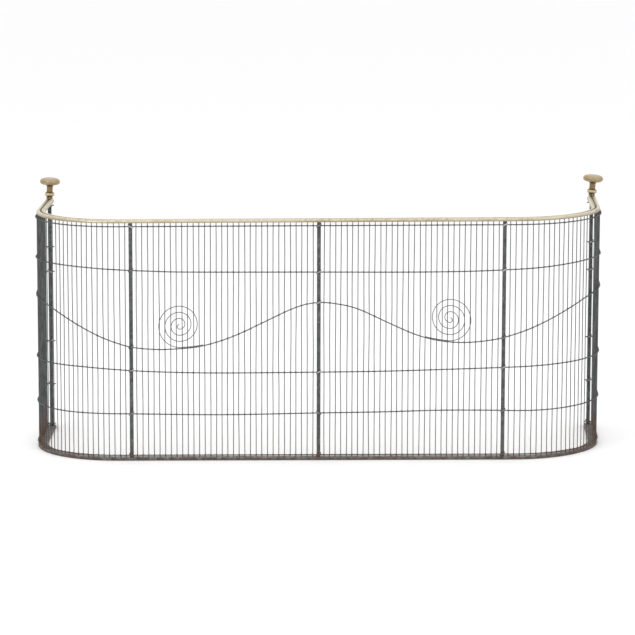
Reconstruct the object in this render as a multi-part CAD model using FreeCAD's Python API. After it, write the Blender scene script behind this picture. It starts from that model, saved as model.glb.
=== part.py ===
import FreeCAD, Part
import math
import os

# A free-standing wirework fire screen with a D-shaped plan: flat front, two rounded
# corners and two straight sides. Millimetres, +X across the front, front facing -Y, +Z up.
# A place on the screen is given by its station, the distance along the line of the
# upright wires from the middle of the front, negative to the left, and by how far it
# lies outward of that line.

V = FreeCAD.Vector

# ---- overall sizes
overall_width = 1211.0         # across the base strip
overall_depth = 374.0          # front of the base strip to the backs of the finial caps
rail_top = 514.0               # top of the brass rail above the floor
corner_radius = 185.0          # plan radius of the front corners, on the line of the wires
rack = 5.8                     # the rail stands this far to +X of the foot: the old grille leans

# ---- base strip
base_width = 20.0
base_thickness = 6.0
base_outer = 2.5               # from the line of the wires to the strip's outer edge
base_chamfer = 0.8
base_past_post = 10.0          # strip beyond the centre of a rear post

# ---- rail: two brass reeds side by side over a flat iron core
rail_width = 19.0
rail_outer = 1.0               # from the line of the wires to the rail's outer edge
rail_thickness = 7.0
reed_radius = 4.9
groove_height = 4.0            # bottom of the groove between the reeds, above the rail's underside
core_outer = 8.3               # from the middle of the rail to the core's outer edge
core_inner = 5.7               # and to its inner edge
core_thickness = 2.5
fit_gap = 0.05                 # clearance round tenons, rivets and the core
rivet_radius = 1.2
rivet_length = 5.0
rivet_from_middle = 3.4        # outward of the middle of the rail

# ---- flat upright bars and rear posts
bar_width = 8.0
bar_thickness = 4.5
bar_stations = {"left": -387.5, "centre": 7.5, "right": 395.5}
tenon_radius = 1.5
shoulder_gap = 0.06            # at both ends of a leaning bar
tenon_set_up = 0.2             # tenon ends stop this far short of the strip's far face
post_width = 8.0               # across the wall
post_depth = 6.0               # along the wall
spigot_radius = 3.0

# ---- wires
upright_wire_radius = 0.9
wire_end_gap = 0.02
wire_pitch = 11.85             # about; each bay is divided evenly
level_wire_radius = 1.2
touch_gap = 0.05               # between wires that rest on each other
turn_before_post = 5.2         # the level wires turn in this sharply in front of a post
tail_past_post = 6.0
top_wire_below_rail = 7.0
bottom_wire_height = 11.8
curve_step = 24.0              # spacing of the points that a bent wire runs through
corner_points = 6              # points round each corner

# ---- binding wire
tie_thickness = 0.8            # small loops at the crossings
lash_radius = 0.65             # lashings of the level wires to the uprights and posts
lash_slope = 32.0              # degrees
lash_spacing = 1.7
lash_gap = 0.25                # between a lashing and what it binds

# ---- scrolls
scroll_wire_radius = 0.8
scroll_outer_radius = 44.0
scroll_step = 6.5              # each half turn is this much smaller than the one before
scroll_half_turns = 7
scroll_tail = 46.0
scroll_gap = 0.4               # between a scroll's tail and the serpentine wire under it
scroll_clear = 26.0            # no tie this close to a scroll's tail
scroll_stations = {"left": -281.5, "right": 277.0}

# ---- finials
cap_radius = 21.8
cap_thickness = 17.0
cap_button_radius = 1.2        # the flat left at the middle of the cap by turning
stem_radius = 6.7
stem_length = 15.0
collar_radius = 10.8
collar_height = 9.0
neck_radius = 6.4
foot_radius = 7.4
foot_height = 5.0
seat_gap = 0.3                 # under the foot, so that the finial turns freely
spigot_gap = 0.06              # radial, between the spigot and the finial's bore
spigot_rise = 15.0             # spigot above the rail
bore_spare = 1.5
finial_lean = {"left": 3.0, "right": 5.0}    # degrees towards +X, from a bent spigot

# ---- places worked out from the sizes above
line_half = overall_width / 2 - base_outer
front_y = base_outer - overall_depth / 2
corner_start = line_half - corner_radius
corner_end = corner_start + corner_radius * math.pi / 2
side_start_y = front_y + corner_radius
post_y = overall_depth / 2 - cap_radius
post_station = corner_end + post_y - side_start_y
rail_underside = rail_top - rail_thickness
core_top = rail_underside + core_thickness
rail_middle = rail_outer - rail_width / 2        # outward, like the three below
rivet_outward = rail_middle + rivet_from_middle
bar_middle = upright_wire_radius - bar_thickness / 2
tenon_middle = upright_wire_radius - bar_thickness + tenon_radius
level_outward = upright_wire_radius + level_wire_radius + touch_gap
wire_before_post = post_depth / 2 + level_wire_radius + touch_gap
rail_end_length = rail_width / 2
top_wire_height = rail_underside - top_wire_below_rail
lean_angle = math.degrees(math.atan(rack / rail_underside))
sides = {"left": -1, "right": 1}

# Heights of the bent level wires: (station, height) pairs, joined by a smooth curve.
level_heights = {
    "upper_wire": [(-post_station, 408), (-corner_end, 413), (-533, 414), (-464, 411.5),
                   (-405, 408), (-347, 405.5), (-288, 403.5), (7, 402), (202, 401), (320, 402),
                   (378, 404), (436, 406.5), (497, 409.5), (573, 413.5), (corner_end, 414.5),
                   (post_station, 413)],
    "serpentine_wire": [(-post_station, 353), (-corner_end, 334), (-588, 322), (-535, 303),
                        (-493, 284), (-457, 267), (-423, 254), (-390, 244), (-331, 238.5),
                        (-290, 240), (-238, 245.5), (-171, 266.5), (-104, 298), (-37, 329),
                        (7, 338), (45, 334.5), (87, 325), (153, 294), (220, 265), (272, 253.5),
                        (321, 251), (388, 259), (438, 274), (489, 295), (550, 320), (610, 338),
                        (744, 346), (post_station, 352)],
    "lower_wire": [(-post_station, 198), (-582, 199), (-499, 200.5), (-437, 197.5), (-377, 193),
                   (-289, 189.5), (-200, 188), (7, 189), (146, 190.5), (263, 193.5), (380, 197),
                   (468, 200), (578, 202), (post_station, 202)],
    "low_wire": [(-post_station, 101), (-584, 100.5), (-437, 101.5), (-200, 98.5), (7, 101.5),
                 (147, 103.5), (264, 106.5), (380, 106), (470, 104.5), (581, 105.5),
                 (post_station, 105)],
    "top_wire": [(-post_station, top_wire_height), (post_station, top_wire_height)],
    "bottom_wire": [(-post_station, bottom_wire_height), (post_station, bottom_wire_height)],
}


def height_at(wire, station):
    """Height of a level wire, on a smooth curve through its points."""
    points = level_heights[wire]
    station = max(points[0][0], min(points[-1][0], station))
    index = max(i for i in range(len(points) - 1) if points[i][0] <= station)
    (s0, z0), (s1, z1) = points[index], points[index + 1]
    before = points[index - 1] if index > 0 else points[index]
    after = points[index + 2] if index + 2 < len(points) else points[index + 1]
    slope0 = (z1 - before[1]) / (s1 - before[0])
    slope1 = (after[1] - z0) / (after[0] - s0)
    span = s1 - s0
    t = (station - s0) / span
    return (z0 * (2 * t ** 3 - 3 * t ** 2 + 1) + z1 * (3 * t ** 2 - 2 * t ** 3)
            + span * slope0 * (t ** 3 - 2 * t ** 2 + t) + span * slope1 * (t ** 3 - t ** 2))


def wall_point(station, outward=0.0, height=0.0):
    """The point at a station of the wall, which leans towards +X as it rises."""
    side = -1 if station < 0 else 1
    along = abs(station)
    lean = rack * min(height, rail_underside) / rail_underside
    if along <= corner_start:
        return V(side * along + lean, front_y - outward, height)
    if along <= corner_end:
        turn = (along - corner_start) / corner_radius
        reach = corner_radius + outward
        return V(side * (corner_start + reach * math.sin(turn)) + lean,
                 side_start_y - reach * math.cos(turn), height)
    return V(side * (line_half + outward) + lean, side_start_y + along - corner_end, height)


def wall_turn(station):
    """Degrees about +Z from +X to the wall's own direction at a station."""
    along = max(0.0, min(corner_end, abs(station)) - corner_start)
    return math.copysign(math.degrees(along / corner_radius), station)


def put_on_wall(shape, station, outward=0.0, height=0.0):
    """Moves a shape drawn at the origin, facing -Y, to a station of the wall."""
    placed = shape.copy()
    placed.rotate(V(0, 0, 0), V(0, 0, 1), wall_turn(station))
    placed.translate(wall_point(station, outward, height))
    return placed


def along_wall(section, side_length):
    """Carries a section, drawn across the middle of the front, round the whole plan."""
    start = section.copy()
    start.translate(V(-corner_start, 0, 0))
    pieces = [start.extrude(V(2 * corner_start, 0, 0))]
    for side in sides.values():
        centre = V(side * corner_start, side_start_y, 0)
        turned = section.copy()
        turned.translate(V(side * corner_start, 0, 0))
        pieces.append(turned.revolve(centre, V(0, 0, side), 90))
        turned.rotate(centre, V(0, 0, side), 90)
        pieces.append(turned.extrude(V(0, side_length, 0)))
    return pieces[0].fuse(pieces[1:]).removeSplitter()


def face_of(edges):
    return Part.Face(Part.Wire(edges))


def polygon_face(points):
    return Part.Face(Part.makePolygon(points + points[:1]))


def rounded_route(points, closed=False):
    """Straight runs joined by tangent arcs, each as large as its two runs allow."""
    count = len(points)
    corners = range(count) if closed else range(1, count - 1)
    cuts = {}
    for i in corners:
        before, point, after = points[i - 1], points[i], points[(i + 1) % count]
        back, ahead = before - point, after - point
        reach = 0.49 * min(back.Length, ahead.Length)
        start = point + back.normalize() * reach
        finish = point + ahead.normalize() * reach
        turn = math.pi - back.getAngle(ahead)
        if turn < 1e-4:
            cuts[i] = (start, finish, None)
            continue
        radius = reach / math.tan(turn / 2)
        inward = (back + ahead).normalize()
        centre = point + inward * math.hypot(radius, reach)
        cuts[i] = (start, finish, centre - inward * radius)
    edges = []
    place = cuts[count - 1][1] if closed else points[0]
    for i in range(count):
        if i not in cuts:
            continue
        start, finish, middle = cuts[i]
        if middle is None:
            continue
        edges.append(Part.LineSegment(place, start).toShape())
        edges.append(Part.Arc(start, middle, finish).toShape())
        place = finish
    if not closed:
        edges.append(Part.LineSegment(place, points[-1]).toShape())
    return Part.Wire(edges)


def wire_along(route, radius):
    """A round wire along a route of straight runs and tangent arcs."""
    first = route.OrderedEdges[0]
    start = first.valueAt(first.FirstParameter)
    heading = first.tangentAt(first.FirstParameter)
    ring = Part.Wire(Part.makeCircle(radius, start, heading))
    return route.makePipeShell([ring], True, False)


def stations_between(first, last):
    """Stations of the upright wires between two bars, evenly pitched."""
    count = round((last - first) / wire_pitch)
    return [first + (last - first) * i / count for i in range(1, count)]


# ---------------------------------------------------------------- base strip and rail
def base_section():
    outer, inner = front_y - base_outer, front_y - base_outer + base_width
    top, cut = base_thickness, base_chamfer
    outline = [(outer, 0), (inner, 0), (inner, top - cut), (inner - cut, top),
               (outer + cut, top), (outer, top - cut)]
    return polygon_face([V(0, y, z) for y, z in outline])


def round_hole(station, outward, radius, bottom, top):
    """An upright cylinder, for a hole or a tenon; it stands where the leaning wall is at its top."""
    spot = wall_point(station, outward, top)
    return Part.makeCylinder(radius, top - bottom, V(spot.x, spot.y, bottom))


def make_base_strip():
    strip = along_wall(base_section(), post_y + base_past_post - side_start_y)
    for station, outward in tenon_places():
        strip = strip.cut(round_hole(station, outward, tenon_radius + fit_gap, 0, base_thickness))
    return strip


def tenon_places():
    places = [(station, tenon_middle) for station in bar_stations.values()]
    return places + [(side * post_station, rail_middle) for side in sides.values()]


def make_rail_core():
    """The flat iron inside the rail, with rounded rear ends."""
    outer, inner = front_y - rail_middle - core_outer, front_y - rail_middle + core_inner
    outline = [(outer, rail_underside), (inner, rail_underside), (inner, core_top), (outer, core_top)]
    core = along_wall(polygon_face([V(0, y, z) for y, z in outline]), post_y - side_start_y)
    core.translate(V(rack, 0, 0))
    ends = [round_hole(side * post_station, rail_middle, core_inner, rail_underside, core_top)
            for side in sides.values()]
    core = core.fuse(ends).removeSplitter()
    for station, outward in tenon_places():
        radius = (tenon_radius if abs(station) < corner_start else spigot_radius) + fit_gap
        core = core.cut(round_hole(station, outward, radius, rail_underside, core_top))
    for station in rivet_stations():
        core = core.cut(round_hole(station, rivet_outward, rivet_radius + fit_gap,
                                   rail_underside, core_top))
    return core


def rail_section(half_only=False, channel=False):
    """The moulding's outline in the plane x = 0, centred on y = 0, bottom at z = 0, outward to -y."""
    half = rail_width / 2
    centre = half - reed_radius
    reed_base = rail_thickness - reed_radius
    groove = centre - math.sqrt(reed_radius ** 2 - (groove_height - reed_base) ** 2)
    channel_top = core_thickness + fit_gap
    outer, inner = -core_outer - fit_gap, core_inner + fit_gap
    edges = []
    if half_only:
        corners = [(half, reed_base), (half, 0), (0, 0), (0, groove_height), (groove, groove_height)]
    elif channel:
        corners = [(half, reed_base), (half, 0), (inner, 0), (inner, channel_top),
                   (outer, channel_top), (outer, 0), (-half, 0), (-half, reed_base)]
    else:
        corners = [(half, reed_base), (half, 0), (-half, 0), (-half, reed_base)]
    spots = [V(0, y, z) for y, z in corners]
    edges = [Part.LineSegment(a, b).toShape() for a, b in zip(spots, spots[1:])]
    if not half_only:
        edges.append(Part.Arc(spots[-1], V(0, -centre, rail_thickness),
                              V(0, -groove, groove_height)).toShape())
        edges.append(Part.LineSegment(V(0, -groove, groove_height), V(0, groove, groove_height)).toShape())
    edges.append(Part.Arc(V(0, groove, groove_height), V(0, centre, rail_thickness), spots[0]).toShape())
    return face_of(edges)


def make_brass_rail():
    section = rail_section(channel=True)
    section.translate(V(0, front_y - rail_middle, rail_underside))
    rail = along_wall(section, post_y - rail_end_length - side_start_y)
    rail.translate(V(rack, 0, 0))
    for station in rivet_stations():
        rail = rail.cut(round_hole(station, rivet_outward, rivet_radius + fit_gap,
                                   rail_underside, rail_underside + rivet_length + fit_gap))
    return rail


def make_rail_end(side):
    """The moulding's last length, returned in a half circle round the post's spigot."""
    straight = rail_section().extrude(V(-side * rail_end_length, 0, 0))
    half_circle = rail_section(half_only=True).revolve(V(0, 0, 0), V(0, 0, -side), 180)
    end = straight.fuse(half_circle).removeSplitter()
    outer, inner = core_outer + fit_gap, core_inner + fit_gap
    depth = core_thickness + fit_gap
    length = rail_end_length + fit_gap
    corner = V(-rail_end_length if side > 0 else -fit_gap, -outer, 0)
    end = end.cut(Part.makeBox(length, outer + inner, depth, corner))
    end = end.cut(Part.makeCylinder(inner, depth))
    end = end.cut(Part.makeCylinder(spigot_radius + fit_gap, rail_thickness))
    return put_on_wall(end, side * post_station, rail_middle, rail_underside)


def rivet_stations():
    """Rivets through the core into the brass, kept clear of the upright bars."""
    right = [200.0, 450.0, (corner_start + corner_end) / 2, corner_end + 60]
    return [-s for s in right] + right


def make_rail_rivets():
    return [round_hole(s, rivet_outward, rivet_radius, rail_underside, rail_underside + rivet_length)
            for s in rivet_stations()]


# ---------------------------------------------------------------- bars and posts
def softened_bar(width, depth, height):
    bar = Part.makeBox(width, depth, height, V(-width / 2, -depth / 2, 0))
    long_edges = [e for e in bar.Edges if abs(e.BoundBox.ZLength - height) < 0.01]
    return bar.makeFillet(0.7, long_edges)


def leaning_bar(width, depth, station, outward, tenon_outward):
    """A bar of the leaning wall, from the foot to the underside of the rail, with its lower tenon."""
    bar = softened_bar(width, depth, rail_underside - base_thickness - 2 * shoulder_gap)
    bar = put_on_wall(bar, station, outward)
    bar.translate(V(0, 0, base_thickness + shoulder_gap))
    bar.rotate(wall_point(station, outward), V(0, 1, 0), lean_angle)
    return bar.fuse(round_hole(station, tenon_outward, tenon_radius, tenon_set_up, base_thickness + 1))


def make_upright(station):
    """A flat bar with a round tenon riveted into each strip."""
    bar = leaning_bar(bar_width, bar_thickness, station, bar_middle, tenon_middle)
    upper = round_hole(station, tenon_middle, tenon_radius, rail_underside - 1, core_top)
    return bar.fuse(upper).removeSplitter()


def make_post(name):
    """A rear post: tenon below, and above it the spigot that its finial screws on to."""
    station = sides[name] * post_station
    post = leaning_bar(post_depth, post_width, station, rail_middle, rail_middle)
    through = round_hole(station, rail_middle, spigot_radius, rail_underside - 1, rail_top)
    spigot = leaning(Part.makeCylinder(spigot_radius, spigot_rise), name)
    return post.fuse([through, spigot]).removeSplitter()


def make_upright_wire(station):
    foot, head = wall_point(station, 0, base_thickness), wall_point(station, 0, rail_underside)
    along = (head - foot).normalize()
    end_gap = along * wire_end_gap
    return Part.makeCylinder(upright_wire_radius, (head - foot).Length - 2 * wire_end_gap,
                             foot + end_gap, along)


def leaning(shape, name):
    """Stands a shape on the rail over a rear post and leans it as that spigot leans."""
    placed = shape.copy()
    placed.rotate(V(0, 0, 0), V(0, 1, 0), finial_lean[name])
    placed.translate(wall_point(sides[name] * post_station, rail_middle, rail_top))
    return placed


# ---------------------------------------------------------------- level wires
def level_route(wire):
    """A level wire's path: round the outside of the upright wires, then in across both posts."""
    stations = []
    rise = max(z for s, z in level_heights[wire]) - min(z for s, z in level_heights[wire])
    front_count = 1 if rise == 0 else round(corner_start / curve_step)
    stations += [corner_start * i / front_count for i in range(1, front_count)]
    corner_angle = (corner_end - corner_start) / corner_points
    corner_stations = [corner_start + corner_angle * (i + 0.5) for i in range(corner_points)]
    stations += corner_stations
    first_side, last_side = corner_end + curve_step, post_station - wire_before_post - turn_before_post
    side_count = 1 if rise == 0 else round((last_side - first_side) / curve_step)
    stations += [first_side + (last_side - first_side) * i / side_count
                 for i in range(side_count + 1)]
    widen = 1 / math.cos(math.pi / 4 / corner_points)
    points = {}
    for station in [-s for s in stations] + [0.0] + stations:
        outward = level_outward
        if abs(station) in corner_stations:
            outward = (corner_radius + level_outward) * widen - corner_radius
        points[station] = wall_point(station, outward, height_at(wire, station))
    path = [points[s] for s in sorted(points)]
    for side in sides.values():
        station = side * (post_station - wire_before_post)
        height = height_at(wire, side * post_station)
        corner = wall_point(station, level_outward, height)
        tail = wall_point(station, rail_middle - post_width / 2 - tail_past_post, height)
        path = [tail, corner] + path if side < 0 else path + [corner, tail]
    return rounded_route(path)


def slope_at(wire, station):
    """Degrees by which a level wire climbs at a station."""
    return math.degrees(math.atan(height_at(wire, station + 1) - height_at(wire, station - 1)) / 2)


def true_height(route, station):
    """Height of a finished wire where it crosses the upright wire at a station."""
    line = Part.LineSegment(wall_point(station), wall_point(station, 0, rail_underside)).toShape()
    return route.distToShape(line)[1][0][0].z


# ---------------------------------------------------------------- ties and lashings
def tie_loop(slope):
    """A square loop of binding wire set corner to corner over one crossing."""
    across = 135.0 + slope / 2 if slope >= 0 else 45.0 + slope / 2
    spread = math.radians(45.0 - abs(slope) / 2)
    half = (level_wire_radius + tie_thickness / 2 * math.cos(spread)) / math.cos(spread) + touch_gap
    inner, outer = -upright_wire_radius - touch_gap, level_outward + level_wire_radius + touch_gap
    low = -tie_thickness / 2
    depth = outer - inner
    hollow = Part.makeBox(2 * half, depth, tie_thickness, V(-half, -outer, low))
    body = Part.makeBox(2 * (half + tie_thickness), depth + 2 * tie_thickness, tie_thickness,
                        V(-half - tie_thickness, -outer - tie_thickness, low))
    loop = body.cut(hollow)
    loop.rotate(V(0, 0, 0), V(0, 1, 0), -across)
    return loop


def make_ties(wire, route, stations):
    """One loop for every upright wire that a level wire crosses."""
    loops = []
    for station in stations:
        if wire == "serpentine_wire" and near_scroll_tail(station):
            continue
        height = true_height(route, station)
        loops.append(put_on_wall(tie_loop(slope_at(wire, station)), station, 0, height))
    return loops


def near_scroll_tail(station):
    """Where a scroll's own lashings bind the serpentine wire instead."""
    for name, side in sides.items():
        foot = scroll_stations[name]
        middle = foot - side * scroll_tail / 2
        if abs(station - middle) < scroll_tail / 2 + scroll_clear:
            return True
    return False


def lashing(half_along, back, front, slope):
    """Two turns of binding wire round a bar and the level wire in front of it."""
    tilt = -lash_slope if slope >= 0 else lash_slope
    lean = math.radians(abs(tilt))
    clash = math.radians(lash_slope + abs(slope))
    clear = lash_radius + lash_gap
    reach = max((half_along + clear) / math.cos(lean),
                (level_wire_radius + clear + lash_spacing / 2) / math.sin(clash))
    deep, shallow = back - clear, front + clear
    turns = []
    for lift in (-lash_spacing / 2, lash_spacing / 2):
        corners = [V(x, y, 0) for x, y in
                   ((-reach, -deep), (reach, -deep), (reach, -shallow), (-reach, -shallow))]
        turn = wire_along(bent_loop(corners, 2 * lash_radius), lash_radius)
        turn.rotate(V(0, 0, 0), V(0, 1, 0), -tilt)
        turn.translate(V(0, 0, lift))
        turns.append(turn)
    return turns


def bent_loop(corners, bend):
    """A closed rectangle with its corners bent to a radius."""
    edges = []
    count = len(corners)
    for i, corner in enumerate(corners):
        back = (corners[i - 1] - corner).normalize()
        ahead = (corners[(i + 1) % count] - corner).normalize()
        start, finish = corner + back * bend, corner + ahead * bend
        middle = corner + (back + ahead) * bend * (1 - math.sqrt(0.5))
        edges.append(Part.Arc(start, middle, finish).toShape())
        following = corners[(i + 1) % count]
        edges.append(Part.LineSegment(finish, following - ahead * bend).toShape())
    return Part.Wire(edges)


def make_lashings(station, routes):
    """The lashings of all the level wires to one upright bar."""
    turns = []
    for wire, route in routes.items():
        height = true_height(route, station)
        for turn in lashing(bar_width / 2, upright_wire_radius - bar_thickness,
                            level_outward + level_wire_radius, slope_at(wire, station)):
            turns.append(put_on_wall(turn, station, 0, height))
    return turns


def make_post_lashings(side):
    """The lashings of the level wires' ends to a rear post, on its face towards the front."""
    turns = []
    for wire in level_heights:
        spot = wall_point(side * post_station, rail_middle, height_at(wire, side * post_station))
        for turn in lashing(post_width / 2, -post_depth / 2, wire_before_post + level_wire_radius, 0):
            turn.translate(spot)
            turns.append(turn)
    return turns


# ---------------------------------------------------------------- scrolls
scroll_outward = upright_wire_radius + scroll_wire_radius + touch_gap
scroll_lift = level_wire_radius + scroll_wire_radius + scroll_gap


def make_scroll(name):
    """A flat spiral of half circles, standing on a tail that lies along the serpentine."""
    side = sides[name]
    foot = scroll_stations[name]
    steps = 4
    tail = [foot - side * scroll_tail * (1 - i / steps) for i in range(steps + 1)]
    points = [wall_point(s, scroll_outward, height_at("serpentine_wire", s) + scroll_lift) for s in tail]
    heading = (points[-1] - points[-2]).normalize()
    up = heading.cross(V(0, side, 0))
    edges = list(rounded_route(points).Edges)
    place, radius = points[-1], scroll_outer_radius
    rising = True
    for _ in range(scroll_half_turns):
        toward = up if rising else up * -1
        sweep = heading if rising else heading * -1
        centre = place + toward * radius
        edges.append(Part.Arc(place, centre + sweep * radius, centre + toward * radius).toShape())
        place = centre + toward * radius
        radius -= scroll_step
        rising = not rising
    return wire_along(Part.Wire(edges), scroll_wire_radius)


def middle_of_gap(station):
    """The middle of the gap between two upright wires of the front that holds a station."""
    first = bar_stations["centre"]
    last = bar_stations["left" if station < first else "right"]
    step = (last - first) / round(abs(last - first) / wire_pitch)
    return first + (math.floor((station - first) / step) + 0.5) * step


def make_scroll_ties(name):
    """Three short loops that hold a scroll's tail down on the serpentine wire."""
    side = sides[name]
    foot = scroll_stations[name]
    low = -level_wire_radius - tie_thickness / 2 - touch_gap
    high = scroll_lift + scroll_wire_radius + tie_thickness / 2 + touch_gap
    deep = -(upright_wire_radius - tie_thickness / 2 - touch_gap)
    shallow = -(level_outward + level_wire_radius + tie_thickness / 2 + touch_gap)
    loops = []
    for i in (0.5, 1.5, 2.5):
        station = middle_of_gap(foot - side * i * wire_pitch)
        corners = [V(0, deep, low), V(0, deep, high), V(0, shallow, high), V(0, shallow, low)]
        loop = wire_along(bent_loop(corners, tie_thickness * 0.6), tie_thickness / 2)
        loop.rotate(V(0, 0, 0), V(0, 1, 0), -slope_at("serpentine_wire", station))
        loops.append(put_on_wall(loop, station, 0, height_at("serpentine_wire", station)))
    return loops


# ---------------------------------------------------------------- finials
def make_finial(name):
    """A turned mushroom finial: foot, neck, collar, waisted stem and domed cap."""
    collar_low = foot_height
    collar_top = collar_low + collar_height
    under_cap = collar_top + stem_length
    top = under_cap + cap_thickness
    rim_height = under_cap + cap_thickness * 0.46
    shoulder = (cap_radius * 0.83, under_cap + cap_thickness * 0.84)
    bore = spigot_radius + spigot_gap
    bore_depth = spigot_rise + bore_spare
    runs = [
        [(bore, 0), (foot_radius, 0)],
        [(foot_radius, 1)],
        [(neck_radius, collar_low / 2 + 0.5), (neck_radius + 0.6, collar_low)],
        [(collar_radius, collar_low + collar_height / 2), (neck_radius + 0.8, collar_top)],
        [(stem_radius - 0.2, collar_top + stem_length / 2), (stem_radius + 0.7, under_cap - 1.5)],
        [(stem_radius + 2.2, under_cap)],
        [(cap_radius * 0.86, under_cap + cap_thickness * 0.16), (cap_radius, rim_height)],
        [(cap_radius * 0.95, under_cap + cap_thickness * 0.7), shoulder],
        [(cap_radius * 0.5, top - 0.8), (cap_button_radius, top)],
        [(0, top)],
        [(0, bore_depth)],
        [(bore, bore_depth)],
        [(bore, 0)],
    ]
    finial = face_of(turned_outline(runs)).revolve(V(0, 0, 0), V(0, 0, 1), 360)
    lean_gap = foot_radius * math.sin(math.radians(finial_lean[name]))
    finial.translate(V(0, 0, seat_gap + lean_gap))
    return leaning(finial, name)


def turned_outline(runs):
    """Edges of a turned profile: one point is a straight run to it, two are an arc through both."""
    place = V(runs[0][0][0], 0, runs[0][0][1])
    edges = []
    for run in [runs[0][1:]] + runs[1:]:
        spots = [V(r, 0, z) for r, z in run]
        if len(spots) == 1:
            edges.append(Part.LineSegment(place, spots[0]).toShape())
        else:
            edges.append(Part.Arc(place, spots[0], spots[1]).toShape())
        place = spots[-1]
    return edges


# ---------------------------------------------------------------- assembly
def build():
    nodes = {
        "base_strip": [make_base_strip()],
        "rail_core": [make_rail_core()],
        "brass_rail": [make_brass_rail()],
        "rail_rivets": make_rail_rivets(),
    }
    for name, station in bar_stations.items():
        nodes["upright_" + name] = [make_upright(station)]
    routes = {wire: level_route(wire) for wire in level_heights}
    for wire, route in routes.items():
        nodes[wire] = [wire_along(route, level_wire_radius)]

    bays = {
        "side_wires_left": (-post_station, bar_stations["left"]),
        "front_wires_left": (bar_stations["left"], bar_stations["centre"]),
        "front_wires_right": (bar_stations["centre"], bar_stations["right"]),
        "side_wires_right": (bar_stations["right"], post_station),
    }
    crossings = []
    for bay, (first, last) in bays.items():
        stations = stations_between(first, last)
        crossings += stations
        nodes[bay] = [make_upright_wire(s) for s in stations]
    for wire, route in routes.items():
        nodes[wire + "_ties"] = make_ties(wire, route, crossings)
    for name, station in bar_stations.items():
        nodes["lashings_" + name + "_upright"] = make_lashings(station, routes)

    nodes["scroll_ties"] = []
    for name, side in sides.items():
        nodes["lashings_" + name + "_post"] = make_post_lashings(side)
        nodes["rear_post_" + name] = [make_post(name)]
        nodes["rail_end_" + name] = [make_rail_end(side)]
        nodes["scroll_" + name] = [make_scroll(name)]
        nodes["scroll_ties"] += make_scroll_ties(name)
        nodes["finial_" + name] = [make_finial(name)]
    return nodes


def main():
    os.makedirs("parts", exist_ok=True)
    nodes = build()
    whole = Part.makeCompound([solid for solids in nodes.values() for solid in solids])
    box = whole.optimalBoundingBox()
    centring = V(-box.Center.x, -box.Center.y, 0)
    print("moved to the middle of its box by", round(centring.x, 3), round(centring.y, 3))
    print("box", round(box.XLength, 2), round(box.YLength, 2), round(box.ZMin, 3), round(box.ZMax, 2))
    for name, side in sides.items():
        seat = wall_point(side * post_station, rail_middle, rail_top) + centring
        print("finial seat", name, round(seat.x, 3), round(seat.y, 3), round(seat.z, 3))
    for name, solids in nodes.items():
        shape = solids[0] if len(solids) == 1 else Part.makeCompound(solids)
        shape.translate(centring)
        shape.exportStep("parts/" + name + ".step")
        print(name, len(shape.Solids), "solids", round(shape.Volume, 1), "mm3", shape.isValid())


main()
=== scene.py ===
import math
import random

import bpy
from mathutils import Matrix, Vector, noise
from mathutils.bvhtree import BVHTree


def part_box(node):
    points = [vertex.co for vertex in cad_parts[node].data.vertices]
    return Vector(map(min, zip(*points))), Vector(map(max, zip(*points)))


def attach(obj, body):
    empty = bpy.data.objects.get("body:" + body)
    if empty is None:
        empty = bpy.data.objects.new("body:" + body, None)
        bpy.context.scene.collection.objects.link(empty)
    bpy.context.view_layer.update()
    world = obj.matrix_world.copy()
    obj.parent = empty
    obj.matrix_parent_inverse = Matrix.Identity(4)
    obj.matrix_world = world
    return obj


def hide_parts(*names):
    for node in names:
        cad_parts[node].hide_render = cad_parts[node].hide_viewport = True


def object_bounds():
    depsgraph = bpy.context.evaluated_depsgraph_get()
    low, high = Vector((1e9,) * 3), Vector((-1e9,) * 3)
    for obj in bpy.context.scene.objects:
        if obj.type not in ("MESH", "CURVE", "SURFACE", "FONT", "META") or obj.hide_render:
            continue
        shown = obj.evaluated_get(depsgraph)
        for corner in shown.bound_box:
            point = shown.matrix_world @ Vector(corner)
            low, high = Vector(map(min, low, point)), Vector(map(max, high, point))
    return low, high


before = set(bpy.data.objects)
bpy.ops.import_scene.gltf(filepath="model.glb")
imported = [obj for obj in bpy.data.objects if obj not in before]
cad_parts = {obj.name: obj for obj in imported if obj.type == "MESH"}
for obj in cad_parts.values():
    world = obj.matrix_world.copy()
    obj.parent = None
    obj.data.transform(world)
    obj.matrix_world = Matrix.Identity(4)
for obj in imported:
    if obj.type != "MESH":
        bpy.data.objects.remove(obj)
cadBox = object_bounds()
bpy.ops.object.select_all(action="DESELECT")
print("frame loaded:", len(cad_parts), "nodes")


# the plan that every wire follows, in metres
grille = {
    "cornerRadius": 0.185,
    "footOuter": 0.0025,               # from the line of the wires to the foot's outer edge
    "lean": 0.0058,                    # of the rail towards +X
    "wireRadius": 0.0009,
    "levelRadius": 0.0012,
    "levelOutward": 0.00215,
    "railMiddle": -0.0085,             # outward of the line of the wires
    "pitch": 0.01185,
}

# how the old upright wires stray along the wall
wander = {
    "reach": 0.0019,
    "bow": 1.1,
    "kinks": 0.7,
    "apart": 83.0,                     # large, so that neighbours stray differently
    "kinksPerMetre": 9.0,
    "stiffEnds": 0.6,
    "bowPlace": 4.1,
    "kinksPlace": 9.7,
}

footLow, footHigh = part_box("base_strip")
middleX = (footLow.x + footHigh.x) / 2
lineHalf = (footHigh.x - footLow.x) / 2 - grille["footOuter"]
frontY = footLow.y + grille["footOuter"]
cornerStart = lineHalf - grille["cornerRadius"]
cornerEnd = cornerStart + grille["cornerRadius"] * math.pi / 2
sideStartY = frontY + grille["cornerRadius"]
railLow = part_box("rail_core")[0].z
footTop = footHigh.z
postY = sum(p.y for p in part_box("rear_post_left")) / 2
postStation = cornerEnd + postY - sideStartY


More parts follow.
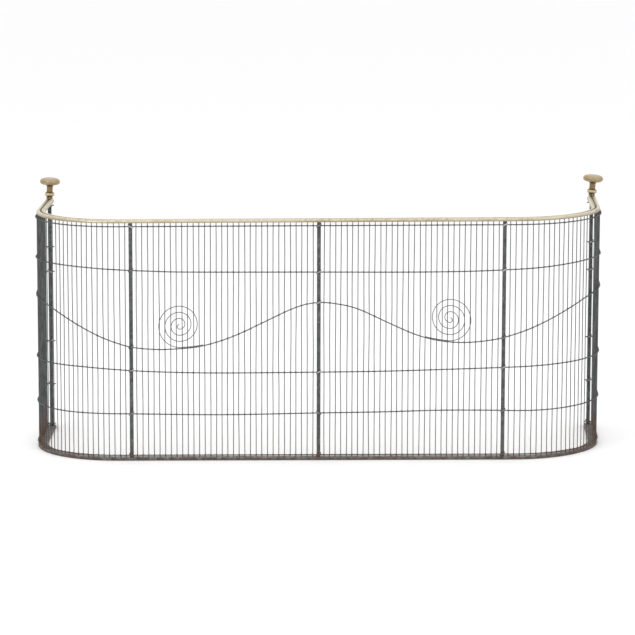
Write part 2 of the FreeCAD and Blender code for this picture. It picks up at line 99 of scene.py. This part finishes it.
# a place on the wall: station along it from the middle of the front, outward of the wires, height
def wallPoint(station, outward=0.0, height=0.0):
    side = -1 if station < 0 else 1
    along = abs(station)
    lean = middleX + grille["lean"] * min(height, railLow) / railLow
    if along <= cornerStart:
        return Vector((side * along + lean, frontY - outward, height))
    if along <= cornerEnd:
        turn = (along - cornerStart) / grille["cornerRadius"]
        reach = grille["cornerRadius"] + outward
        return Vector((side * (cornerStart + reach * math.sin(turn)) + lean,
                       sideStartY - reach * math.cos(turn), height))
    return Vector((side * (lineHalf + outward) + lean, sideStartY + along - cornerEnd, height))


# how far a point lies outward of the line of the wires
def outwardOf(spot):
    across = abs(spot.x - middleX - grille["lean"] * min(spot.z, railLow) / railLow)
    if across <= cornerStart and spot.y < sideStartY:
        return frontY - spot.y
    if spot.y < sideStartY:
        return math.hypot(across - cornerStart, sideStartY - spot.y) - grille["cornerRadius"]
    return across - lineHalf


# how far the wall has turned from facing the front
def wallTurn(station):
    turn = min(max(abs(station) - cornerStart, 0) / grille["cornerRadius"], math.pi / 2)
    return -turn if station < 0 else turn


# stations of the three bars, from the bars themselves
def barStation(name):
    low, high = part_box(name)
    return (low.x + high.x) / 2 - middleX - grille["lean"] / 2


barStations = {name: barStation("upright_" + name) for name in ("left", "centre", "right")}
bays = {
    "side_wires_left": (-postStation, barStations["left"]),
    "front_wires_left": (barStations["left"], barStations["centre"]),
    "front_wires_right": (barStations["centre"], barStations["right"]),
    "side_wires_right": (barStations["right"], postStation),
}
levelWires = ("upper_wire", "serpentine_wire", "lower_wire", "low_wire", "top_wire", "bottom_wire")


def stationsBetween(first, last):
    count = round((last - first) / grille["pitch"])
    return [first + (last - first) * i / count for i in range(1, count)]


# how far an old wire has strayed along the wall at a height
def swayAt(station, height):
    part = (height - footTop) / (railLow - footTop)
    held = math.sin(math.pi * min(max(part, 0.0), 1.0)) ** wander["stiffEnds"]
    own = station * wander["apart"]
    bow = noise.noise(Vector((own, wander["bowPlace"], 0.0)))
    kinks = noise.noise(Vector((own, wander["kinksPlace"], height * wander["kinksPerMetre"])))
    return wander["reach"] * held * (bow * wander["bow"] + kinks * wander["kinks"])


def treeOf(node):
    return BVHTree.FromPolygons([v.co for v in node.data.vertices], [f.vertices for f in node.data.polygons])


levelTrees = {name: treeOf(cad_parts[name]) for name in levelWires}


# the middle of a level wire where it passes a station, found by looking down on to it
def levelHeight(name, station):
    low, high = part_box(name)
    height = (low.z + high.z) / 2
    for attempt in range(2):
        above = wallPoint(station, grille["levelOutward"], height)
        above.z = high.z + 0.01
        spot = levelTrees[name].ray_cast(above, Vector((0, 0, -1)))[0]
        if spot:
            height = spot.z - grille["levelRadius"]
    return height


# a copy of a modelled shape with its own mesh, every vertex moved by a rule
def placedCopy(model, name, rule):
    mesh = model.data.copy()
    piece = bpy.data.objects.new(name, mesh)
    bpy.context.collection.objects.link(piece)
    for vertex in mesh.vertices:
        vertex.co = rule(vertex.co)
    return piece


def joinPieces(pieces, name, material):
    bpy.ops.object.select_all(action="DESELECT")
    for piece in pieces:
        piece.select_set(True)
    bpy.context.view_layer.objects.active = pieces[0]
    if len(pieces) > 1:
        bpy.ops.object.join()
    joined = bpy.context.view_layer.objects.active
    joined.name = name
    joined.data.materials.clear()
    joined.data.materials.append(material)
    bpy.ops.object.shade_smooth_by_angle(angle=math.radians(40))
    bpy.ops.object.select_all(action="DESELECT")
    return joined


def removeModel(model):
    bpy.data.objects.remove(model, do_unlink=True)


def startEdit(model):
    bpy.ops.object.select_all(action="DESELECT")
    model.select_set(True)
    bpy.context.view_layer.objects.active = model
    bpy.ops.object.mode_set(mode="EDIT")


class Sock:
    # one output of a node, written in sums like a number
    def __init__(self, tree, socket):
        self.tree = tree
        self.socket = socket

    # any node: its settings first, then the values or links of its sockets
    def node(self, kind, settings=None, output=0, **inputs):
        made = self.tree.nodes.new(kind)
        for name, value in (settings or {}).items():
            if name == "stops":
                setStops(made.color_ramp, value)
            else:
                setattr(made, name, value)
        for name, value in inputs.items():
            numbered = name[0] == "i" and name[1:].isdigit()
            target = made.inputs[int(name[1:]) if numbered else name]
            if isinstance(value, Sock):
                self.tree.links.new(value.socket, target)
            else:
                target.default_value = value
        return Sock(self.tree, made.outputs[output])

    def sum(self, operation, other):
        return self.node("ShaderNodeMath", {"operation": operation}, i0=self, i1=other)

    def __add__(self, other):
        return self.sum("ADD", other)

    def __sub__(self, other):
        return self.sum("SUBTRACT", other)

    def __mul__(self, other):
        return self.sum("MULTIPLY", other)

    def __truediv__(self, other):
        return self.sum("DIVIDE", other)

    def __rsub__(self, other):
        return self * -1.0 + other

    __radd__ = __add__
    __rmul__ = __mul__

    # 0 below low, 1 above high, and a soft step between
    def step(self, low, high):
        return self.node("ShaderNodeMapRange", {"interpolation_type": "SMOOTHSTEP"},
                         i0=self, i1=low, i2=high, i3=0.0, i4=1.0)

    # from colour a at 0 to colour b at 1
    def mix(self, a, b):
        return self.node("ShaderNodeMix", {"data_type": "RGBA"}, output=2, i0=self, i6=a, i7=b)


def setStops(ramp, stops):
    while len(ramp.elements) < len(stops):
        ramp.elements.new(0.5)
    for element, (place, colour) in zip(ramp.elements, stops):
        element.position = place
        element.color = colour


# a colour as seen on a screen, 0 to 255, made linear
def tone(red, green, blue):
    return tuple(((c / 255 + 0.055) / 1.055) ** 2.4 if c > 10 else c / 3294.6
                 for c in (red, green, blue)) + (1.0,)


# the start of a material: its shader, and its coordinates in metres
def startMaterial(name, metallic):
    material = bpy.data.materials.new(name)
    material.use_nodes = True
    tree = material.node_tree
    shader = tree.nodes["Principled BSDF"]
    shader.inputs["Metallic"].default_value = metallic
    place = tree.nodes.new("ShaderNodeTexCoord")
    return material, shader, Sock(tree, place.outputs["Object"])


def link(value, shader, name):
    value.tree.links.new(value.socket, shader.inputs[name])


def grainOf(place, scale, detail=3.0, rough=0.55, stretch=(1, 1, 1)):
    placed = place.node("ShaderNodeMapping", Vector=place, Scale=stretch)
    return placed.node("ShaderNodeTexNoise", Vector=placed, Scale=scale, Detail=detail, Roughness=rough)


def heightOf(place):
    return place.node("ShaderNodeSeparateXYZ", output=2, Vector=place)


def bumpFrom(height, strength, depth):
    return height.node("ShaderNodeBump", Height=height, Strength=strength, Distance=depth)


brass = {
    "rubbedAndHighlit": tone(214, 207, 188),       # rubbed crests of the reeds, lighter also as a painted highlight
    "plain": tone(190, 179, 152),
    "brown": tone(160, 145, 114),      # skin colour of old lacquer
    "groove": tone(128, 116, 94),      # painted shade in the groove between the reeds
    "under": tone(126, 115, 92),       # the shaded lower edge
    "grooveHalf": 0.0022,
    "grooveDeep": 0.0045,
    "blotchScale": 9.0,
    "fineScale": 160.0,
    "rubScale": 420.0,
}


# the moulding, and the same brass with painted shade, for the shaded groove between the reeds
def makeRailBrass(name, railTop, thickness, shadedGroove):
    material, shader, place = startMaterial(name, 0.72)
    blotches = grainOf(place, brass["blotchScale"], 4.0)
    streaks = grainOf(place, brass["fineScale"], 3.0)
    rub = grainOf(place, brass["rubScale"], 2.0)
    depth = (railTop - heightOf(place)) / thickness        # 0 on the crests, 1 underneath
    colour = blotches.step(0.36, 0.66).mix(brass["plain"], brass["brown"])
    # lighter towards the crests: rubbed wear, with a painted highlight along them
    colour = ((1.0 - depth) * streaks * 1.8).step(0.3, 0.95).mix(colour, brass["rubbedAndHighlit"])
    colour = (depth + streaks * 0.4).step(0.8, 1.3).mix(colour, brass["under"])
    # in the groove, blotchy painted shade darkens the brass between the reeds
    if shadedGroove:
        colour = ((streaks + blotches) * 0.5).step(0.2, 0.55).mix(colour, brass["groove"])
    link(colour, shader, "Base Color")
    link(streaks * 0.22 + blotches * 0.16 + (0.45 if shadedGroove else 0.24), shader, "Roughness")
    link(bumpFrom(rub * 0.4 + streaks, 0.35, 0.0006), shader, "Normal")
    return material


knob = {
    "top": tone(190, 168, 150),
    "side": tone(158, 140, 104),
    "stem": tone(134, 112, 84),
    "dirtAndShade": tone(82, 66, 46),
    "highlightAndFlecks": tone(216, 200, 158),
}


# turning marks follow the axis of the finial, so the pattern is centred and leaned with it
def makeFinialBrass(name, seat, lean, lift):
    material, shader, place = startMaterial(name, 0.7)
    onAxis = place.node("ShaderNodeMapping", {"vector_type": "TEXTURE"}, Vector=place,
                        Location=seat, Rotation=(0.0, lean, 0.0))
    up = (heightOf(onAxis) - lift) / (finial["profile"][-1][1] / 1000)
    blotches = grainOf(onAxis, 55.0, 4.0)
    fine = grainOf(onAxis, 420.0, 3.0)
    lathe = grainOf(onAxis, 1.0, 2.0, 0.6, (40, 40, 2600))
    # painted light up the finial: painted shade in the waist above the foot collar, in the crease above the
    # lower knob, on the stem under the cap and in the neck under the cap; a painted highlight round the
    # widest part of the lower knob; the top of the cap lighter, as painted light
    colour = up.node("ShaderNodeValToRGB", {"stops": [
        (0.0, knob["side"]), (0.06, knob["dirtAndShade"]), (0.13, knob["dirtAndShade"]), (0.2, knob["highlightAndFlecks"]),
        (0.27, knob["side"]), (0.31, knob["dirtAndShade"]), (0.36, knob["stem"]), (0.56, knob["stem"]),
        (0.62, knob["dirtAndShade"]), (0.72, knob["side"]), (0.86, knob["side"]), (0.96, knob["top"])]}, Fac=up)
    # random dark blotches of dirt, then random bright flecks
    colour = (blotches.step(0.45, 0.75) * 0.4).mix(colour, knob["dirtAndShade"])
    colour = ((fine * blotches).step(0.26, 0.42) * 0.5).mix(colour, knob["highlightAndFlecks"])
    link(colour, shader, "Base Color")
    link(fine * 0.25 + blotches * 0.2 + 0.16, shader, "Roughness")
    link(bumpFrom(lathe * 0.5 + fine * 0.5, 0.3, 0.0005), shader, "Normal")
    return material


iron = {
    "dark": tone(58, 60, 62),
    "plain": tone(84, 86, 87),
    "rubbed": tone(124, 124, 122),
    "rust": tone(112, 84, 66),
    "rustDark": tone(74, 56, 48),
}


# forged iron: dark scale, rubbed bright patches, and rust that climbs from the floor
def makeForgedIron(name, lift, rustTop, hammerScale, bump):
    material, shader, place = startMaterial(name, 0.35)
    patches = grainOf(place, 60.0, 4.0)
    fine = grainOf(place, 700.0, 3.0)
    dents = grainOf(place, hammerScale, 2.0)
    up = heightOf(place)
    colour = patches.step(0.35, 0.7).mix(iron["dark"], iron["plain"])
    colour = (dents * 0.6 + fine * 0.4 + lift).step(0.5, 0.72).mix(colour, iron["rubbed"])
    rust = (up * -1.0 / rustTop + patches * 1.6 + 0.1).step(0.25, 0.85)
    colour = (rust * 0.75).mix(colour, fine.step(0.4, 0.6).mix(iron["rustDark"], iron["rust"]))
    link(colour, shader, "Base Color")
    link(rust * 0.3 + fine * 0.25 + 0.34, shader, "Roughness")
    link(bumpFrom(dents + fine * 0.25, 0.5, bump), shader, "Normal")
    return material


# drawn wire: nearly black, lighter where it is handled, near white on the lashings as a painted highlight,
# brown close to the floor
def makeWire(name, light, shine):
    material, shader, place = startMaterial(name, 0.4)
    patches = grainOf(place, 45.0, 3.0)
    along = grainOf(place, 900.0, 2.0, 0.5, (1, 1, 0.12))
    up = heightOf(place)
    colour = patches.step(0.3, 0.7).mix(iron["dark"], light)
    rust = (0.055 - up + patches * 0.05).step(0.0, 0.06)
    colour = (rust * 0.8).mix(colour, along.step(0.4, 0.6).mix(iron["rustDark"], iron["rust"]))
    link(colour, shader, "Base Color")
    link(along * 0.3 + rust * 0.2 + shine, shader, "Roughness")
    link(bumpFrom(along, 0.4, 0.0002), shader, "Normal")
    return material


studio = {
    "cameraAhead": 6.8213,             # in front of the foot's front edge
    "cameraHeight": 1.4532,
    "cameraSide": 0.207,
    "tilt": 0.1666,
    "yaw": 0.0291,
    "roll": -0.0092,
    "lens": 187.0,
    "floorSize": 60.0,
    "worldLight": 1.05,
    # name, place, aim, size and power: a broad soft light over the front left, a weaker one over the right
    "lights": (("keyLight", (-2.4, -3.4, 3.6), (0, 0, 0.2), 2.6, 60.0),
               ("fillLight", (3.0, -2.6, 2.4), (0, 0, 0.3), 2.2, 22.0)),
}


def makeStudio():
    low, high = cadBox
    bpy.ops.mesh.primitive_plane_add(size=studio["floorSize"], location=(0, 0, low.z))
    floor = bpy.context.object
    floor.name = "floor"
    material, shader, place = startMaterial("paleFloor", 0.0)
    cloudy = grainOf(place, 3.0, 2.0)
    link((cloudy * 0.02).mix((0.93, 0.93, 0.93, 1), (0.85, 0.85, 0.85, 1)), shader, "Base Color")
    shader.inputs["Roughness"].default_value = 0.9
    floor.data.materials.append(material)

    world = bpy.data.worlds.new("studioWorld")
    bpy.context.scene.world = world
    world.use_nodes = True
    back = world.node_tree.nodes["Background"]
    back.inputs["Color"].default_value = (1, 1, 1, 1)
    back.inputs["Strength"].default_value = studio["worldLight"]

    for name, place, aim, size, power in studio["lights"]:
        bpy.ops.object.light_add(type="AREA", location=place)
        light = bpy.context.object
        light.name = name
        light.data.shape = "DISK"
        light.data.size = size
        light.data.energy = power
        light.rotation_euler = (Vector(aim) - Vector(place)).to_track_quat("-Z", "Y").to_euler()

    bpy.ops.object.camera_add()
    camera = bpy.context.object
    camera.data.lens = studio["lens"]
    camera.data.sensor_width = 36.0
    camera.data.clip_start = 0.05
    camera.data.clip_end = 200.0
    turn = (Matrix.Rotation(studio["yaw"], 4, "Z") @ Matrix.Rotation(math.pi / 2 - studio["tilt"], 4, "X")
            @ Matrix.Rotation(studio["roll"], 4, "Z"))
    spot = Vector((middleX + studio["cameraSide"], footLow.y - studio["cameraAhead"],
                   studio["cameraHeight"]))
    camera.matrix_world = Matrix.Translation(spot) @ turn
    bpy.context.scene.camera = camera
    bpy.context.scene.view_settings.view_transform = "Standard"
    print("studio ready")


# each wire is bent to its own slight wander, between the foot and the rail
def makeUprightWires():
    bpy.ops.mesh.primitive_cylinder_add(vertices=7, radius=grille["wireRadius"], depth=1.0,
                                        location=(0, 0, 0), end_fill_type="NGON")
    model = bpy.context.object
    startEdit(model)
    bpy.ops.mesh.select_mode(type="EDGE")
    bpy.ops.mesh.select_all(action="DESELECT")
    bpy.ops.object.mode_set(mode="OBJECT")
    for edge in model.data.edges:
        ends = [model.data.vertices[i].co for i in edge.vertices]
        edge.select = abs(ends[0].z - ends[1].z) > 0.5
    bpy.ops.object.mode_set(mode="EDIT")
    bpy.ops.mesh.subdivide(number_cuts=13)
    bpy.ops.object.mode_set(mode="OBJECT")
    for bay, (first, last) in bays.items():
        pieces = []
        for station in stationsBetween(first, last):
            def follow(at, station=station):
                height = footTop + (at.z + 0.5) * (railLow - footTop)
                middle = wallPoint(station + swayAt(station, height), 0.0, height)
                return middle + Vector((at.x, at.y, 0))
            pieces.append(placedCopy(model, bay, follow))
        joined = joinPieces(pieces, bay + "_drawn", grilleWire)
        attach(joined, "screen")
        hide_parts(bay)
    removeModel(model)
    print("upright wires drawn")


# binding loops at the crossings
loops = {
    "halfAcross": 0.0023,
    "halfDeep": 0.0025,
    "halfHigh": 0.0025,
    "gauge": 0.17,                     # of the wire, as a share of the loop's reach
    "slope": math.radians(40.0),
    "tailClear": 0.004,                # a scroll's tail lies this far above its lowest point
    "tieClear": 0.003,
}


def makeTies():
    bpy.ops.mesh.primitive_torus_add(major_segments=12, minor_segments=4, major_radius=1.0,
                                     minor_radius=loops["gauge"], location=(0, 0, 0))
    model = bpy.context.object
    startEdit(model)
    bpy.ops.mesh.select_all(action="SELECT")
    bpy.ops.transform.resize(value=(loops["halfAcross"], loops["halfDeep"], loops["halfHigh"]),
                             center_override=(0, 0, 0))
    bpy.ops.object.mode_set(mode="OBJECT")
    middle = grille["levelOutward"] / 2 + (grille["levelRadius"] - grille["wireRadius"]) / 2
    chance = random.Random(11)
    for wire in levelWires:
        pieces = []
        for first, last in bays.values():
            for station in stationsBetween(first, last):
                height = levelHeight(wire, station)
                if wire == "serpentine_wire" and nearScroll(station, height):
                    continue
                lean = loops["slope"] * chance.uniform(0.75, 1.2) * chance.choice((1, 1, 1, -1))
                spot = wallPoint(station + swayAt(station, height), middle, height)
                turned = (Matrix.Translation(spot) @ Matrix.Rotation(wallTurn(station), 4, "Z")
                          @ Matrix.Rotation(lean, 4, "Y"))
                pieces.append(placedCopy(model, wire, lambda at, turned=turned: turned @ at))
        joined = joinPieces(pieces, wire + "_bound", bindingWire)
        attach(joined, "screen")
        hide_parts(wire + "_ties")
    removeModel(model)
    print("binding loops placed")


# the scrolls' own loops hold the serpentine wire near their tails
def nearScroll(station, height):
    spot = wallPoint(station, 0.0, height)
    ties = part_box("scroll_ties")
    besideTies = ties[0].x - loops["tieClear"] < spot.x < ties[1].x + loops["tieClear"]
    for side in ("left", "right"):
        low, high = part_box("scroll_" + side)
        overTail = low.x < spot.x < high.x and height > low.z - loops["tailClear"]
        if abs(station) < cornerStart and overTail:
            return besideTies
    return False


# lashings of wire round the bars
lash = {
    "thickness": 0.00062,
    "turns": 2.75,
    "points": 20,                      # for each turn
    "start": math.pi * 0.35,
    "besidePost": 0.006,               # the level wires are measured this far before a post
    "pitch": 0.0015,
    "slope": 0.55,                     # rise for each step along the wall
    "clear": 0.0009,
    "square": 0.36,                    # small is square, 1 is round
    "tail": 0.0032,
    "barHalf": 0.004,
    "barBack": -0.0036,
    "postBack": -0.003,
    "postFront": 0.00545,
}


# a few turns round a bar and the wire in front of it, with one cut end sticking out
def makeLashingModel(back, front):
    halfAcross = lash["barHalf"] + lash["clear"]
    halfDeep = (front - back) / 2 + lash["clear"]
    middle = (front + back) / 2
    points = []
    for i in range(int(lash["turns"] * lash["points"]) + 1):
        turn = 2 * math.pi * i / lash["points"] - lash["start"]
        across, deep = (math.copysign(abs(part) ** lash["square"], part)
                        for part in (math.cos(turn), math.sin(turn)))
        across *= halfAcross
        rise = lash["pitch"] * (i / lash["points"] - lash["turns"] / 2)
        points.append(Vector((across, deep * halfDeep - middle, across * lash["slope"] + rise)))
    away = (points[-1] - points[-2]).normalized()
    for i in range(1, 4):
        onward = (away + Vector((0, -0.5 * i, -0.25 * i))).normalized()
        points.append(points[-1] + onward * lash["tail"] / 3)
    curve = bpy.data.curves.new("lashingPath", "CURVE")
    curve.dimensions = "3D"
    spline = curve.splines.new("POLY")
    spline.points.add(len(points) - 1)
    for point, spot in zip(spline.points, points):
        point.co = (*spot, 1.0)
    curve.bevel_depth = lash["thickness"]
    curve.bevel_resolution = 1
    curve.use_fill_caps = True
    model = bpy.data.objects.new("lashing", curve)
    bpy.context.collection.objects.link(model)
    bpy.ops.object.select_all(action="DESELECT")
    model.select_set(True)
    bpy.context.view_layer.objects.active = model
    bpy.ops.object.convert(target="MESH")
    return bpy.context.view_layer.objects.active


def makeLashings():
    chance = random.Random(29)
    front = grille["levelOutward"] + grille["levelRadius"]
    barModel = makeLashingModel(lash["barBack"], front)
    postModel = makeLashingModel(lash["postBack"], lash["postFront"])
    places = [(name + "_upright", station, barModel) for name, station in barStations.items()]
    places += [("left_post", -postStation, postModel), ("right_post", postStation, postModel)]
    for name, station, model in places:
        onPost = model is postModel
        beside = station - math.copysign(lash["besidePost"], station) if onPost else station
        pieces = []
        for wire in levelWires:
            height = levelHeight(wire, beside)
            spot = wallPoint(station, grille["railMiddle"] if onPost else 0.0, height)
            mirror = -1 if chance.random() < 0.35 else 1
            swell = chance.uniform(1.0, 1.04)
            turned = Matrix.Translation(spot) @ Matrix.Diagonal((swell, swell, mirror, 1.0))
            pieces.append(placedCopy(model, name, lambda at, turned=turned: turned @ at))
        joined = joinPieces(pieces, name + "_lashed", lashingWireHighlit)
        startEdit(joined)
        bpy.ops.mesh.select_all(action="SELECT")
        bpy.ops.mesh.normals_make_consistent(inside=False)
        bpy.ops.object.mode_set(mode="OBJECT")
        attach(joined, "screen")
        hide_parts("lashings_" + name)
    removeModel(barModel)
    removeModel(postModel)
    print("lashings wound")


finial = {
    "sides": 80,
    "lean": {"left": math.radians(3.0), "right": math.radians(5.0)},
    "seatGap": 0.3,
    # radius and height above the seat, in millimetres
    "profile": [(7.4, 0.0), (7.7, 0.25), (7.7, 0.9), (7.3, 1.2), (6.7, 1.5), (6.4, 2.6), (6.6, 4.2),
                (7.2, 4.9), (8.3, 5.3), (9.6, 6.3), (10.5, 7.7), (10.8, 9.2), (10.7, 9.9), (10.35, 10.1),
                (10.45, 10.4), (10.0, 11.7), (9.1, 12.9), (7.9, 13.7), (7.0, 14.0), (6.9, 14.5),
                (6.6, 15.2), (6.5, 18.0), (6.5, 21.5), (6.65, 24.5), (7.0, 26.6), (7.5, 27.4),
                (7.35, 27.7), (7.6, 28.1), (8.9, 28.9), (12.5, 30.0), (16.0, 30.9), (18.8, 31.8),
                (20.6, 33.2), (21.5, 34.9), (21.8, 36.6), (21.6, 38.6), (21.0, 40.3), (20.0, 41.7),
                (18.4, 43.0), (18.1, 43.0), (17.8, 43.3), (15.0, 44.4), (11.5, 45.2), (7.5, 45.7),
                (3.5, 45.95), (1.2, 46.0)],
}


def makeFinials():
    profile = [(radius / 1000, height / 1000) for radius, height in finial["profile"]]
    for side in ("left", "right"):
        bpy.ops.mesh.primitive_circle_add(vertices=finial["sides"], radius=profile[0][0],
                                          location=(0, 0, 0))
        knobShape = bpy.context.object
        startEdit(knobShape)
        bpy.ops.mesh.select_all(action="SELECT")
        for (radius, height), (nextRadius, nextHeight) in zip(profile, profile[1:]):
            rise = (0, 0, nextHeight - height)
            bpy.ops.mesh.extrude_region_move(TRANSFORM_OT_translate={"value": rise})
            wider = nextRadius / radius
            bpy.ops.transform.resize(value=(wider, wider, 1), center_override=(0, 0, nextHeight))
        bpy.ops.mesh.edge_face_add()
        bpy.ops.mesh.select_mode(type="EDGE")
        bpy.ops.mesh.select_all(action="DESELECT")
        bpy.ops.mesh.select_non_manifold()
        bpy.ops.mesh.edge_face_add()
        bpy.ops.mesh.select_all(action="SELECT")
        bpy.ops.mesh.normals_make_consistent(inside=False)
        bpy.ops.object.mode_set(mode="OBJECT")
        lean = finial["lean"][side]
        seat = wallPoint(postStation * (-1 if side == "left" else 1), grille["railMiddle"], railTop)
        lift = (finial["seatGap"] + finial["profile"][0][0] * math.sin(lean)) / 1000
        knobShape.data.transform(Matrix.Translation(seat) @ Matrix.Rotation(lean, 4, "Y")
                                 @ Matrix.Translation((0, 0, lift)))
        piece = joinPieces([knobShape], "finial_" + side + "_turned",
                           makeFinialBrass("finialBrass" + side.capitalize(), seat, lean, lift))
        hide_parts("finial_" + side)
        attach(piece, "finial_" + side)
    print("finials turned")


makeStudio()

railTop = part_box("brass_rail")[1].z
railBrass = makeRailBrass("agedRailBrass", railTop, railTop - railLow, False)
grooveBrass = makeRailBrass("grooveBrass", railTop, railTop - railLow, True)
barIron = makeForgedIron("forgedBars", 0.0, 0.06, 130.0, 0.0006)
footIron = makeForgedIron("footIron", 0.1, 0.012, 90.0, 0.0008)
grilleWire = makeWire("grilleWire", tone(92, 92, 92), 0.35)
bindingWire = makeWire("bindingWire", tone(104, 103, 100), 0.3)
# the lashings' near-white patches are a painted highlight for the glints on their turns
lashingWireHighlit = makeWire("lashingWireHighlit", tone(196, 194, 188), 0.24)

slots = {"rail_brass": railBrass, "finial_brass": railBrass, "iron_bar": barIron, "base_iron": footIron,
         "grille_wire": grilleWire, "binding_wire": bindingWire}


def slotOf(name):
    if name.startswith("finial"):
        return "finial_brass"
    if name in ("brass_rail", "rail_end_left", "rail_end_right"):
        return "rail_brass"
    if name == "base_strip":
        return "base_iron"
    if "ties" in name or "lashings" in name:
        return "binding_wire"
    if "wire" in name or "scroll" in name:
        return "grille_wire"
    return "iron_bar"


for name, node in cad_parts.items():
    node.data.materials.clear()
    node.data.materials.append(slots[slotOf(name)])

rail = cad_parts["brass_rail"]
# faces in the groove between the reeds take the brass with painted shade
rail.data.materials.append(grooveBrass)
for face in rail.data.polygons:
    nearMiddle = abs(outwardOf(face.center) - grille["railMiddle"]) < brass["grooveHalf"]
    if nearMiddle and face.center.z > railTop - brass["grooveDeep"]:
        face.material_index = 1
print("finishes on every node")

makeUprightWires()
makeTies()
makeLashings()
makeFinials()
